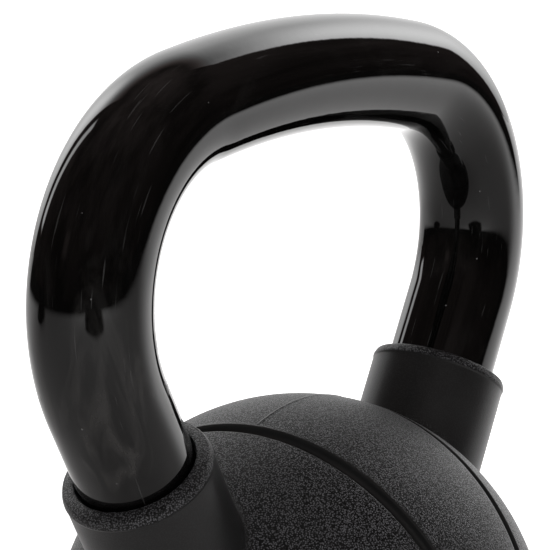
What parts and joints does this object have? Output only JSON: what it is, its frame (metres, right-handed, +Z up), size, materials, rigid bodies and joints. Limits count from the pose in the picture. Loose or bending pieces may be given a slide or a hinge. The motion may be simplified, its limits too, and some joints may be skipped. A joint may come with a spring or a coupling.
{
  "type": "kettlebell",
  "caption": "Kettlebell with a glossy bent-bar handle, an iron core and a grooved matte urethane casing with collars round the handle's legs.",
  "frame": {"origin": "on the floor under the centre of the ball, at the middle of the base pad's underside", "axes": "+Z up towards the handle, X along the handle's width, Y through the hand gap"},
  "size_m": [0.207, 0.131, 0.222],
  "materials": {
    "handle_lacquer": "high gloss black",
    "weld_steel": "as welded",
    "core_iron": "as cast",
    "casing_urethane": "fine matte grain",
    "pad_rubber": "matte"
  },
  "bodies": {
    "root": {"handle_bar": "handle_lacquer", "left_weld": "weld_steel", "right_weld": "weld_steel", "core": "core_iron", "core_plug": "core_iron", "left_casing": "casing_urethane", "centre_band": "casing_urethane", "right_casing": "casing_urethane", "base_pad": "pad_rubber"}
  },
  "joints": []
}
